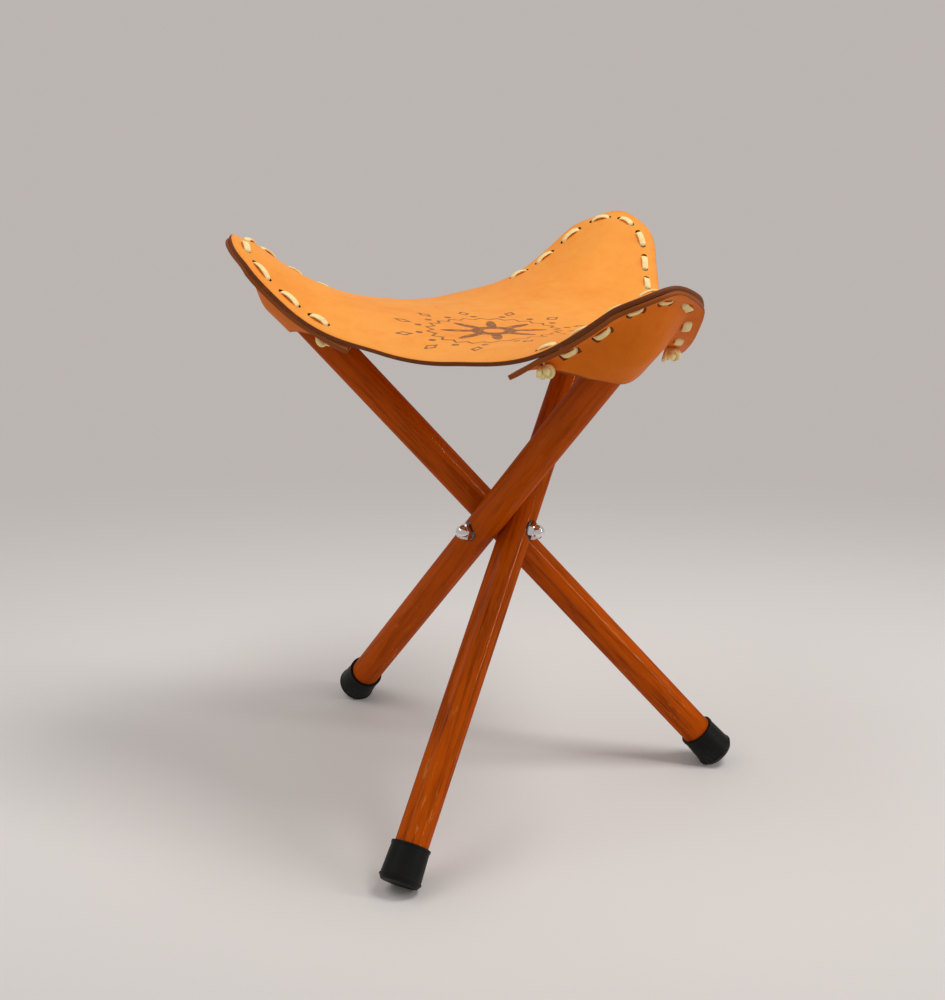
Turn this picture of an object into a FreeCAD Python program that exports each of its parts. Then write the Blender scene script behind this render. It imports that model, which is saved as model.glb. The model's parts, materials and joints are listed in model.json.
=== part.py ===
import FreeCAD, Part
import math
import os

V = FreeCAD.Vector
CORNERS = ("left", "front", "back")

# Wooden legs: each crosses the middle on its own stud, stool open
LEG_RADIUS = 14.0
LEG_TILT = 42.6
LEG_OFFSET = 18.1
LEG_ABOVE_BOLT = 276.0
LEG_BELOW_BOLT = 312.5
LEG_TOP_ROUNDING = 4.0

# Rubber feet pushed onto the lower leg ends
FOOT_LENGTH = 31.5
FOOT_SOLE = 5.0
FOOT_WALL = 2.1
FOOT_FLARE = 1.0
FOOT_LIP = 0.5
FOOT_FLANGE = 0.7
FOOT_BEVEL = 3.4
FOOT_WEAR = 1.4

# Three-way bolt with washers and domed nuts
STUD_RADIUS = 4.0
STUD_RUNNING_GAP = 0.06
WELD_RADIUS = 5.2
RECESS_RADIUS = 8.8
RECESS_DEPTH = 3.0
WASHER_RADIUS = 8.0
WASHER_THICKNESS = 1.2
WASHER_GAP = 0.3
NUT_ACROSS_FLATS = 13.0
NUT_HEX_HEIGHT = 5.5
NUT_HEIGHT = 12.8
NUT_DOME_RADIUS = 6.25
NUT_BORE_DEPTH = 8.5
NUT_TURN = 12.0
THREAD_GAP = 0.05

# Leather seat: a triangle with round corners, hung as a shallow bowl
LEATHER = 3.8
SEAT_TWIST = 4.1
SEAT_CENTRE = 180.0
SEAT_BOWL = 0.0004
SEAT_CORNER_RISE = 4.79e-6
SEAT_RIDGE_FALL = 0.1376
SEAT_RIDGE_START = 97.0
SEAT_RIDGE_END = 177.0
SEAT_RIDGE_ROUNDING = 8.0
SEAT_TIP_DROOP = 6.8
SEAT_TIP_START = 206.0
SEAT_TIP_END = 226.0
CORNER_CENTRE = 166.7
CORNER_RADIUS = 58.6

# Leather pockets laced under the corners
POCKET_MOUTH = 243.5
POCKET_MOUTH_SLACK = 1.0
POCKET_END_SLACK = 1.9
POCKET_SLOPE = 0.686
POCKET_ROUNDING = 15.7
POCKET_GAP = 0.6
POCKET_BLEND = 4.0
SEAM_START = 8.0
SEAM_END = 30.0
EAR_MOUTH = 216.0
EAR_START = 12.0
EAR_END = 80.0
EAR_DROP = 8.2
EAR_SMALL_DROP = 3.0
EAR_LENGTH = 30.7

# Lace: a running stitch around each corner, knotted underneath at both ends
LACE_RADIUS = 2.3
LACE_CLEAR = 0.4
LACE_UNDER_CLEAR = 4.2
LACE_BEND = 3.2
LACE_INSET = 11.0
LACE_SLANT = 0.2
LACE_TAIL = 9.0
STITCH = 16.0
STITCH_SPACE = 12.0
STITCHES_PER_SIDE = 4
SHORT_SIDE = 0.9
HOLE_RADIUS = 2.7
KNOT_RADIUS = 5.0
KNOT_CLEAR = 1.6

TILT = math.radians(LEG_TILT)
TWIST = math.radians(SEAT_TWIST)
WASHER_REACH = LEG_OFFSET + LEG_RADIUS - RECESS_DEPTH + WASHER_GAP
NUT_REACH = WASHER_REACH + WASHER_THICKNESS
FOOT_END = LEG_BELOW_BOLT + FOOT_SOLE
FOOT_RADIUS = LEG_RADIUS + FOOT_WALL + FOOT_FLARE + FOOT_FLANGE
FOOT_BOTTOM_RADIUS = FOOT_RADIUS - 0.7 * FOOT_BEVEL
BOLT_HEIGHT = FOOT_END * math.cos(TILT) + FOOT_BOTTOM_RADIUS * math.sin(TILT) - FOOT_WEAR


def smooth(value, start, end):
    """Ease from 0 at start to 1 at end."""
    q = min(max((value - start) / (end - start), 0.0), 1.0)
    return q * q * (3.0 - 2.0 * q)


def turned(shape, corner):
    """Copy of a piece of the left corner, turned about the upright axis to another corner."""
    copy = shape.copy()
    copy.rotate(V(0, 0, 0), V(0, 0, 1), 120.0 * CORNERS.index(corner))
    return copy


def tilted(shape):
    """Lean a piece built upright around the bolt's level onto the left leg."""
    shape.rotate(V(0, 0, 0), V(0, 1, 0), -LEG_TILT)
    shape.translate(V(0, LEG_OFFSET, BOLT_HEIGHT))
    return shape


def leg():
    """Round bar with a rounded top end, drilled across for its stud, with a flat recess under the nut."""
    length = LEG_ABOVE_BOLT + LEG_BELOW_BOLT
    bar = Part.makeCylinder(LEG_RADIUS, length, V(0, 0, -LEG_BELOW_BOLT))
    top_edge = [e for e in bar.Edges if e.Length > 1 and e.BoundBox.ZMin > LEG_ABOVE_BOLT - 1]
    bar = bar.makeFillet(LEG_TOP_ROUNDING, top_edge)
    bore = Part.makeCylinder(STUD_RADIUS + STUD_RUNNING_GAP, 4 * LEG_RADIUS,
                             V(0, -2 * LEG_RADIUS, 0), V(0, 1, 0))
    recess = Part.makeCylinder(RECESS_RADIUS, 2 * LEG_RADIUS, V(0, LEG_RADIUS - RECESS_DEPTH, 0), V(0, 1, 0))
    return tilted(bar.cut([bore, recess]))


def foot():
    """Rubber cup with a lip at its rim, a flange and a bevel at its sole, worn flat on the floor."""
    rim = FOOT_LENGTH - FOOT_SOLE
    wall = LEG_RADIUS + FOOT_WALL
    bevel = FOOT_BEVEL - FOOT_SOLE
    outline = [(0, -FOOT_SOLE), (FOOT_BOTTOM_RADIUS, -FOOT_SOLE), (FOOT_RADIUS, bevel),
               (FOOT_RADIUS, bevel + 0.9), (wall + FOOT_FLARE, bevel + 1.8), (wall, rim - 2.6),
               (wall + FOOT_LIP, rim - 2.0), (wall + FOOT_LIP, rim), (LEG_RADIUS, rim), (LEG_RADIUS, 0),
               (0, 0), (0, -FOOT_SOLE)]
    section = Part.Face(Part.makePolygon([V(radius, 0, height) for radius, height in outline]))
    cup = section.revolve(V(0, 0, 0), V(0, 0, 1), 360)
    cup.translate(V(0, 0, -LEG_BELOW_BOLT))
    cup = tilted(cup)
    floor = Part.makeBox(1000, 1000, 100, V(-500, -500, -100))
    return cup.cut(floor)


def three_way_bolt():
    """Three studs welded to one point, a third of a turn apart."""
    reach = NUT_REACH + NUT_BORE_DEPTH - 1.0
    stud = Part.makeCylinder(STUD_RADIUS, reach, V(0, 0, BOLT_HEIGHT), V(0, 1, 0))
    stud = stud.makeChamfer(0.8, [e for e in stud.Edges if e.BoundBox.YMin > reach - 0.1])
    weld = Part.makeSphere(WELD_RADIUS, V(0, 0, BOLT_HEIGHT))
    return weld.fuse([turned(stud, corner) for corner in CORNERS]).removeSplitter()


def washer():
    """Flat washer between the left leg and its nut."""
    base = V(0, WASHER_REACH, BOLT_HEIGHT)
    disc = Part.makeCylinder(WASHER_RADIUS, WASHER_THICKNESS, base, V(0, 1, 0))
    return disc.cut(Part.makeCylinder(STUD_RADIUS + 0.2, WASHER_THICKNESS, base, V(0, 1, 0)))


def cap_nut():
    """Hexagon nut with a closed dome."""
    corner = NUT_ACROSS_FLATS / math.sqrt(3.0)
    angles = [math.radians(NUT_TURN + 60.0 * k) for k in range(7)]
    points = [V(corner * math.cos(angle), corner * math.sin(angle), 0) for angle in angles]
    hexagon = Part.Face(Part.makePolygon(points)).extrude(V(0, 0, NUT_HEX_HEIGHT))
    turned_edge = Part.makeCone(corner - 0.7, corner + NUT_HEX_HEIGHT, NUT_HEX_HEIGHT + 0.7)
    turned_top = Part.makeCone(corner + NUT_HEX_HEIGHT, corner - 0.7, NUT_HEX_HEIGHT + 0.7, V(0, 0, -0.7))
    nut = hexagon.common(turned_edge).common(turned_top)
    straight = NUT_HEIGHT - NUT_DOME_RADIUS
    nut = nut.fuse(Part.makeCylinder(NUT_DOME_RADIUS, straight))
    nut = nut.fuse(Part.makeSphere(NUT_DOME_RADIUS, V(0, 0, straight), V(0, 0, 1), 0, 90, 360))
    nut = nut.cut(Part.makeCylinder(STUD_RADIUS + THREAD_GAP, NUT_BORE_DEPTH))
    nut.rotate(V(0, 0, 0), V(1, 0, 0), -90)
    nut.translate(V(0, NUT_REACH, BOLT_HEIGHT))
    return nut.removeSplitter()


def corner_axes(corner=0):
    """Outward direction of a seat corner in plan, and the direction across it."""
    angle = math.pi - TWIST + corner * math.tau / 3
    return (math.cos(angle), math.sin(angle)), (math.sin(angle), -math.cos(angle))


def corner_place(x, y):
    """Distance out along the nearest corner's middle line and distance across it."""
    best = None
    for corner in range(3):
        out, across = corner_axes(corner)
        along = x * out[0] + y * out[1]
        if best is None or along > best[0]:
            best = (along, x * across[0] + y * across[1])
    return best


def edge_distance(x, y):
    """Distance inwards from the seat's outline in plan."""
    along, across = corner_place(x, y)
    beyond = along - CORNER_CENTRE
    across = abs(across)
    if across < beyond * math.tan(math.pi / 3):
        return CORNER_RADIUS - math.hypot(beyond, across)
    return CORNER_RADIUS - beyond * 0.5 - across * math.sqrt(0.75)


def seat_top(x, y):
    """Height of the seat's upper face: a bowl with rising corners, a ridge over each leg, drooping tips."""
    along, across = corner_place(x, y)
    ridge = math.hypot(across, SEAT_RIDGE_ROUNDING) - SEAT_RIDGE_ROUNDING
    return (BOLT_HEIGHT + SEAT_CENTRE + SEAT_BOWL * (x * x + y * y)
            + SEAT_CORNER_RISE * (along ** 3 - 3 * along * across ** 2)
            - SEAT_RIDGE_FALL * smooth(along, SEAT_RIDGE_START, SEAT_RIDGE_END) * ridge
            - SEAT_TIP_DROOP * smooth(along, SEAT_TIP_START, SEAT_TIP_END))


def slopes(height, x, y):
    """Slope of a height function along X and Y."""
    step = 0.25
    return ((height(x + step, y) - height(x - step, y)) / (2 * step),
            (height(x, y + step) - height(x, y - step)) / (2 * step))


def below(height, depth):
    """Height function of the face that lies a given depth under another one, measured square to it."""
    def lower(x, y):
        sx, sy = slopes(height, x, y)
        return height(x, y) - depth * math.sqrt(1.0 + sx * sx + sy * sy)
    return lower


seat_under = below(seat_top, LEATHER)


def along_leg(out, height):
    """Distance along the left leg from its stud, of a point in the leg's upright plane."""
    return out * math.sin(TILT) + (height - BOLT_HEIGHT) * math.cos(TILT)


def pocket_top(x, y):
    """Height of the left pocket's inner face: along the seat at its laced edge, a trough under the leg."""
    out = -x
    seat = seat_under(x, y)
    hang = EAR_SMALL_DROP + (EAR_DROP - EAR_SMALL_DROP) * smooth(y - LEG_OFFSET, -40.0, 40.0)
    ear = 1.0 - smooth(along_leg(out, seat), EAR_MOUTH, EAR_MOUTH + EAR_LENGTH)
    flap = seat - POCKET_GAP - hang * ear

    def trough_height(lift):
        return BOLT_HEIGHT + (lift + out * math.cos(TILT)) / math.sin(TILT)
    lift = POCKET_SLOPE * (math.hypot(y - LEG_OFFSET, POCKET_ROUNDING) - POCKET_ROUNDING) - LEG_RADIUS
    further = smooth(along_leg(out, trough_height(lift)), POCKET_MOUTH, LEG_ABOVE_BOLT)
    lift -= POCKET_MOUTH_SLACK + (POCKET_END_SLACK - POCKET_MOUTH_SLACK) * further
    drop = flap - trough_height(lift)
    trough = 0.5 * (drop + math.hypot(drop, POCKET_BLEND))
    return flap - trough * smooth(edge_distance(x, y), SEAM_START, SEAM_END)


pocket_under = below(pocket_top, LEATHER)


def sheet(upper, lower, x_range, y_range, spacing):
    """Block between two height functions over a rectangle."""
    def positions(limits):
        count = int(round((limits[1] - limits[0]) / spacing))
        return [limits[0] + (limits[1] - limits[0]) * k / count for k in range(count + 1)]
    faces = []
    for height in (upper, lower):
        surface = Part.BSplineSurface()
        surface.interpolate([[V(x, y, height(x, y)) for y in positions(y_range)] for x in positions(x_range)])
        faces.append(surface.toShape())
    sides = [Part.makeRuledSurface(a, b) for a, b in zip(faces[0].OuterWire.Edges, faces[1].OuterWire.Edges)]
    return Part.Solid(Part.Shell(faces + sides))


def seat_prism():
    """Upright block with the seat's outline: three round corners joined by straight sides."""
    edges = []
    ends = []
    for corner in range(3):
        out, across = corner_axes(corner)
        middle = V(out[0], out[1], 0)
        side = V(across[0], across[1], 0)
        first, last = [middle * CORNER_CENTRE + middle * (CORNER_RADIUS * 0.5)
                       + side * (sign * CORNER_RADIUS * math.sqrt(0.75)) for sign in (1, -1)]
        edges.append(Part.Arc(first, middle * (CORNER_CENTRE + CORNER_RADIUS), last).toShape())
        ends.append((first, last))
    for corner in range(3):
        edges.append(Part.makeLine(ends[corner][1], ends[(corner + 1) % 3][0]))
    outline = Part.Wire(Part.__sortEdges__(edges))
    return Part.Face(outline).extrude(V(0, 0, 1000))


def stitch_line(distance):
    """Plan position on the left corner's stitch line, at a distance along it from the tip."""
    out, across = corner_axes()
    radius = CORNER_RADIUS - LACE_INSET
    round_part = radius * math.pi / 3
    angle = math.copysign(min(abs(distance), round_part) / radius, distance)
    straight = math.copysign(max(abs(distance) - round_part, 0.0), distance)
    along = CORNER_CENTRE + radius * math.cos(angle) - abs(straight) * math.sqrt(0.75)
    sideways = radius * math.sin(angle) + straight * 0.5
    return out[0] * along + across[0] * sideways, out[1] * along + across[1] * sideways


def lace_holes():
    """Slanting lace holes of the left corner: point on the seat, direction up, depth of both leathers."""
    distances = []
    place = STITCH_SPACE / 2
    for k in range(STITCHES_PER_SIDE):
        distances += [place, place + STITCH]
        place += STITCH + STITCH_SPACE
    holes = []
    for distance in [-d for d in reversed(distances)] + [d * SHORT_SIDE for d in distances]:
        x, y = stitch_line(distance)
        sx, sy = slopes(seat_top, x, y)
        inwards = slopes(edge_distance, x, y)
        slant = LACE_SLANT * smooth(distance, 0.0, 40.0)
        up = V(-sx - slant * inwards[0], -sy - slant * inwards[1], 1).normalize()
        point = V(x, y, seat_top(x, y))
        depth = 2 * LEATHER
        for k in range(20):
            low = point - up * depth
            depth += (low.z - pocket_under(low.x, low.y)) * 0.5
        holes.append((point, up, depth))
    return holes


def rounded_path(points, radius):
    """Wire through the points with every corner rounded."""
    edges = []
    start = points[0]
    for before, corner, after in zip(points, points[1:], points[2:]):
        back = (before - corner).normalize()
        on = (after - corner).normalize()
        half = back.getAngle(on) / 2
        reach = radius / math.tan(half)
        middle = (back + on).normalize()
        begin = corner + back * reach
        finish = corner + on * reach
        edges.append(Part.makeLine(start, begin))
        edges.append(Part.Arc(begin, corner + middle * (radius / math.sin(half) - radius), finish).toShape())
        start = finish
    edges.append(Part.makeLine(start, points[-1]))
    return Part.Wire(edges)


def knot_place(point, up, depth):
    """Middle of the knot under an end hole, square to the pocket's lower face."""
    low = point - up * depth
    sx, sy = slopes(pocket_under, low.x, low.y)
    return low - V(-sx, -sy, 1).normalize() * (KNOT_RADIUS + KNOT_CLEAR)


def lace(holes):
    """One lace over and under through the holes, with a knot and a short tail below each end."""
    points = []
    knots = []
    for number, (point, up, depth) in enumerate(holes):
        over = point + up * (LACE_RADIUS + LACE_CLEAR)
        route = [over, point - up * (depth + LACE_RADIUS + LACE_UNDER_CLEAR)]
        if number in (0, len(holes) - 1):
            leave = point - up * (depth + LACE_RADIUS)
            knot = knot_place(point, up, depth)
            knots.append(Part.makeSphere(KNOT_RADIUS, knot))
            route = [over, leave, knot + (knot - leave).normalize() * LACE_TAIL]
        points += route[::-1] if number % 2 == 0 else route
    path = rounded_path(points, LACE_BEND)
    ring = Part.Wire(Part.makeCircle(LACE_RADIUS, points[0], points[1] - points[0]))
    return path.makePipeShell([ring], True, False).fuse(knots)


def drills(holes):
    """Round bars that cut the left corner's lace holes."""
    return Part.makeCompound([Part.makeCylinder(HOLE_RADIUS, depth + 20, point + up * 10, -up)
                              for point, up, depth in holes])


def seat(holes):
    """Seat leather with the lace holes of all three corners."""
    reach = CORNER_CENTRE + CORNER_RADIUS + 6
    block = sheet(seat_top, seat_under, (-reach, reach), (-reach, reach), 7.0)
    panel = block.common(seat_prism())
    for corner in CORNERS:
        panel = panel.cut(turned(drills(holes), corner))
    return panel


def mouth():
    """Block that keeps the pocket outwards of its mouth, which reaches further in at the two ears."""
    points = []
    for k in range(-30, 31):
        across = 5.0 * k
        middle = 1.0 - smooth(abs(across), EAR_START, EAR_END)
        points.append(V(-200, across, EAR_MOUTH + (POCKET_MOUTH - EAR_MOUTH) * middle))
    curve = Part.BSplineCurve()
    curve.interpolate(points)
    far = [points[-1], V(-200, points[-1].y, 800), V(-200, points[0].y, 800), points[0]]
    outline = Part.Wire([curve.toShape()] + [Part.makeLine(a, b) for a, b in zip(far, far[1:])])
    return tilted(Part.Face(outline).extrude(V(400, 0, 0)))


def pocket(holes):
    """Pocket leather under the left corner, cut to the seat's outline and at its mouth."""
    far = CORNER_CENTRE + CORNER_RADIUS + 6
    block = sheet(pocket_top, pocket_under, (-far, -90.0), (-110.0, 130.0), 5.0)
    return block.common(seat_prism()).common(mouth()).cut(drills(holes))


def main():
    os.makedirs("parts", exist_ok=True)
    holes = lace_holes()
    pieces = {"three_way_bolt": three_way_bolt(), "seat_panel": seat(holes)}
    corner_pieces = {"leg": leg(), "foot": foot(), "washer": washer(), "cap_nut": cap_nut(),
                     "pocket": pocket(holes), "lace": lace(holes)}
    for name, shape in corner_pieces.items():
        for corner in CORNERS:
            pieces[name + "_" + corner] = turned(shape, corner)
    for name, shape in pieces.items():
        shape.exportStep("parts/" + name + ".step")


main()
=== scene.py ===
import json
import math

import bpy
import numpy as np
from bpy.props import FloatProperty, FloatVectorProperty, PointerProperty
from mathutils import Matrix, Vector


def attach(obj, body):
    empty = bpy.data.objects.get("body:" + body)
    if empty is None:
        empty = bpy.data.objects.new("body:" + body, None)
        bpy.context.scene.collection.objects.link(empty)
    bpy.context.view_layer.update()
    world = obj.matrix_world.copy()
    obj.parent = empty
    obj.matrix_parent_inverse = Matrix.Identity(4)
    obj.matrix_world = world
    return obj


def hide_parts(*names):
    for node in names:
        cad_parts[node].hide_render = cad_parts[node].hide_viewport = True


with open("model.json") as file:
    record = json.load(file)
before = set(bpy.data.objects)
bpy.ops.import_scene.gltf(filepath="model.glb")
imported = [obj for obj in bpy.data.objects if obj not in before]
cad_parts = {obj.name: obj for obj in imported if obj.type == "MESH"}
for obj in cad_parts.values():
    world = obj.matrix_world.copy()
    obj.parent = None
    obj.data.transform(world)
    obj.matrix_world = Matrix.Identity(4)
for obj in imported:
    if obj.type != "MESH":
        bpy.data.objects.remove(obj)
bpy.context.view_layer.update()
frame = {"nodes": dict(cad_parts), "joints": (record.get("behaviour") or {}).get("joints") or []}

bl_info = {
    "name": "Folding tripod stool",
    "version": (1, 0, 0),
    "blender": (4, 5, 0),
    "location": "View3D > Sidebar > Stool",
    "description": "Laced leather, stained wood, rubber and bright steel for a folding tripod stool",
    "category": "Object",
}

CORNERS = ("left", "front", "back")
LEFT_HINGE = next(j for j in frame["joints"] if j["child"] == "leg_left")["pos_m"]

# The frame that the leather hangs on, in metres
LEG_TILT = math.radians(42.6)
LEG_RADIUS = 0.014
LEG_ABOVE_BOLT = 0.276
LEG_OFFSET = LEFT_HINGE[1]
BOLT_HEIGHT = LEFT_HINGE[2]
LEG_SIN = math.sin(LEG_TILT)
LEG_COS = math.cos(LEG_TILT)

# The hung shape of the seat
SEAT_TWIST = math.radians(4.1)
SEAT_CENTRE = 0.180
SEAT_BOWL = 0.40
SEAT_CORNER_RISE = 4.79
RIDGE_FALL = 0.1376
RIDGE_SPAN = (0.097, 0.177)
RIDGE_ROUNDING = 0.008
TIP_DROOP = 0.0068
TIP_SPAN = (0.206, 0.226)
CORNER_CENTRE = 0.1667
CORNER_RADIUS = 0.0586

# The pockets under the corners
POCKET_MOUTH = 0.2435
POCKET_SLACK = (0.0010, 0.0019)
POCKET_SLOPE = 0.686
POCKET_ROUNDING = 0.0157
POCKET_GAP = 0.0006
POCKET_BLEND = 0.004
SEAM_SPAN = (0.008, 0.030)
EAR_MOUTH = 0.216
EAR_SPAN = (0.012, 0.080)
EAR_DROPS = (0.0030, 0.0082)
EAR_LENGTH = 0.0307
EAR_TWIST_SPAN = (-0.040, 0.040)
EAR_SEARCH = (0.05, 0.18)
EAR_SAMPLES = 400
MOUTH_SEARCH = (0.05, 0.26)
MOUTH_HALVINGS = 40
POCKET_SHARES = (0.004, 0.996)
POCKET_POINTS = 240

# The stitch line around each corner
STITCH_INSET = 0.011
STITCH_SLANT = 0.2
SLANT_SPAN = (0.0, 0.040)
DEPTH_STEPS = 25
STITCH = 0.016
STITCH_SPACE = 0.012
STITCHES_PER_SIDE = 4
SHORT_SIDE = 0.9

# The rubbed edge of the leather: how far in it is round, and its section
EDGE = 0.0011
EDGE_STEPS = 9
EDGE_SQUARENESS = 0.7
RIM_POINTS = 180
SHARP_ANGLE = math.radians(50)

# The bars that cut the lace holes
HOLE_SIDES = 20
BAR_SPARE = 0.004

# The lace's section and its run through the leathers
LACE_SIDES = 14
LACE_SQUARENESS = (0.7, 0.8)
LACE_STEP = 0.0005
LACE_CLEARANCE = 0.0002
LACE_WRAP = 0.002
STITCH_SHOULDER = 0.28
FLAT_STITCH = 0.3
HOLE_STAND_OFF = 0.4
UNDER_EASE = 0.7
HOLE_NARROWING = 0.30
HOLE_THICKENING = 0.35
UNDER_WIDENING = 0.15

# The knots at the lace's ends
KNOT_OPENING = 0.30
KNOT_POINTS = 120
KNOT_SCALE = 0.0018
KNOT_HEIGHT = 1.5
KNOT_DROP = 0.0052
KNOT_ROOT = 0.001
KNOT_TAIL = 0.004
KNOT_TAIL_FALL = 0.007
KNOT_WIDTH = 0.45
KNOT_THICKNESS = 0.9

# The stamped ornament on the seat
ORNAMENT_PLACE = (-0.012, -0.040, 0.0)
ORNAMENT_STRETCH = (1.45, 1.35, 1.0)
PETALS = 8
PETAL_FOOT = 0.013
PETAL_LENGTH = 0.017
EYE_RADIUS = 0.006
ZIGZAGS = 24
ZIGZAG_RING = 0.034
ZIGZAG_HEIGHT = 0.004
DOTS = 16
DOT_RING = 0.043
LOZENGES = 12
LOZENGE_RING = 0.0525
LOZENGE_PITCH = 0.052 * math.tau / LOZENGES
LOZENGE_SLENDER = 1.6

# Wear and dirt, and how strong each leg's dark grain is
RUBBED_SPAN = (0.0045, 0.0002)
WORN_SPAN = (-0.10, -0.27)
# The front leg's dark grain is fainter, so that leg is lighter than the other two
GRAIN_STRENGTH = {"left": 1.0, "front": 0.6, "back": 1.0}
DUST_SPAN = (0.024, 0.002)
DUST_COLOUR = (0.10, 0.095, 0.09)

# The stage: an oval floor with painted shade towards the front, lamps with their place, size and power, and
# the camera
FLOOR_SIZE = (1.8, 1.0)
FLOOR_RINGS = 12
FLOOR_SIDES = 48
FLOOR_OVAL = 0.55
FLOOR_FADE = (0.27, 0.99)
# Painted shade: the floor's colour is darkened by up to this share over this span towards the front
FLOOR_PAINTED_SHADE_SPAN = (-0.05, -0.60)
FLOOR_PAINTED_SHADE_DEPTH = 0.12
LAMP_TARGET = Vector((0.0, 0.0, 0.3))
LAMPS = (
    ("right_softbox", (0.98, -0.38, 2.60), (0.9, 0.9), 27.5),
    ("left_softbox", (-1.55, -0.17, 2.33), (1.6, 1.6), 15.0),
    ("right_strip", (2.00, -0.82, 1.10), (0.09, 1.20), 10.0),
)
AMBIENT_TINT = (1.0, 0.99, 0.98)
CAMERA_PLACE = (-0.13274, -1.26896, 0.44196 + BOLT_HEIGHT)
CAMERA_YAW = math.radians(-4.946)
CAMERA_PITCH = math.radians(18.210)
CAMERA_ROLL = math.radians(1.298)


class LeatherSettings(bpy.types.PropertyGroup):
    """Leather of the seat and its pockets."""

    thickness: FloatProperty(
        name="Thickness", description="Thickness of the leather", default=0.0038, min=0.001, unit="LENGTH")
    hole: FloatProperty(
        name="Lace hole", description="Diameter of the lace holes", default=0.0050, min=0.001, unit="LENGTH")
    tan: FloatVectorProperty(
        name="Tan", description="Main colour of the grain side", default=(0.93, 0.362, 0.064),
        subtype="COLOR")
    deep_tan: FloatVectorProperty(
        name="Deep tan", description="Colour of its darker patches", default=(0.85, 0.255, 0.028),
        subtype="COLOR")
    pocket_tan: FloatVectorProperty(
        name="Pocket tan", description="Main colour of the pockets", default=(0.80, 0.185, 0.008),
        subtype="COLOR")
    deep_pocket_tan: FloatVectorProperty(
        name="Deep pocket tan", description="Colour of their darker patches", default=(0.62, 0.120, 0.004),
        subtype="COLOR")
    burnish: FloatVectorProperty(
        name="Burnished edge", description="Colour of the rubbed cut edges", default=(0.150, 0.036, 0.006),
        subtype="COLOR")
    pocket_burnish: FloatVectorProperty(
        name="Pocket edge", description="Colour of the pockets' cut edges", default=(0.27, 0.062, 0.006),
        subtype="COLOR")
    flesh: FloatVectorProperty(
        name="Flesh side", description="Colour of the rough side", default=(0.40, 0.20, 0.085),
        subtype="COLOR")
    ink: FloatVectorProperty(
        name="Stamped ink", description="Colour of the ornament on the seat", default=(0.16, 0.065, 0.035),
        subtype="COLOR")


class LaceSettings(bpy.types.PropertyGroup):
    """Lace that holds the pockets to the seat."""

    width: FloatProperty(
        name="Width", description="Width of the flat lace", default=0.0058, min=0.001, unit="LENGTH")
    thickness: FloatProperty(
        name="Thickness", description="Thickness of the flat lace", default=0.0019, min=0.0005, unit="LENGTH")
    arch: FloatProperty(
        name="Arch", description="How far a stitch stands off the leather", default=0.0010, min=0.0,
        unit="LENGTH")
    pull: FloatProperty(
        name="Pull", description="How far a stitch is pulled in from its holes", default=0.0009, min=0.0,
        unit="LENGTH")
    cream: FloatVectorProperty(
        name="Cream", description="Colour of the lace", default=(0.98, 0.79, 0.36), subtype="COLOR")
    soiled: FloatVectorProperty(
        name="Soiled cream", description="Colour of its darker fibres", default=(0.68, 0.47, 0.18),
        subtype="COLOR")


class FrameSettings(bpy.types.PropertyGroup):
    """Legs, feet and bolt."""

    stain: FloatVectorProperty(
        name="Wood stain", description="Main colour of the legs", default=(0.50, 0.078, 0.001),
        subtype="COLOR")
    dark_stain: FloatVectorProperty(
        name="Dark grain", description="Colour of the dark grain lines", default=(0.15, 0.021, 0.001),
        subtype="COLOR")
    bare_wood: FloatVectorProperty(
        name="Worn wood", description="Colour where the stain has rubbed off", default=(0.58, 0.19, 0.04),
        subtype="COLOR")
    rubber: FloatVectorProperty(
        name="Rubber", description="Colour of the feet", default=(0.005, 0.005, 0.005), subtype="COLOR")
    steel: FloatVectorProperty(
        name="Bright steel", description="Colour of the nuts; bolt and washers are darker",
        default=(0.78, 0.78, 0.80), subtype="COLOR")


class StageSettings(bpy.types.PropertyGroup):
    """Floor, backdrop, light and camera."""

    floor: FloatVectorProperty(
        name="Floor", description="Colour of the floor", default=(0.75, 0.712, 0.685), subtype="COLOR")
    backdrop: FloatVectorProperty(
        name="Backdrop", description="Colour behind the floor", default=(0.50, 0.462, 0.44), subtype="COLOR")
    ambient: FloatProperty(
        name="Ambient", description="Even light from all sides", default=0.42, min=0.0)
    lens: FloatProperty(
        name="Lens", description="Focal length for a 36 mm long side", default=55.75, min=1.0, unit="CAMERA")


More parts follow.
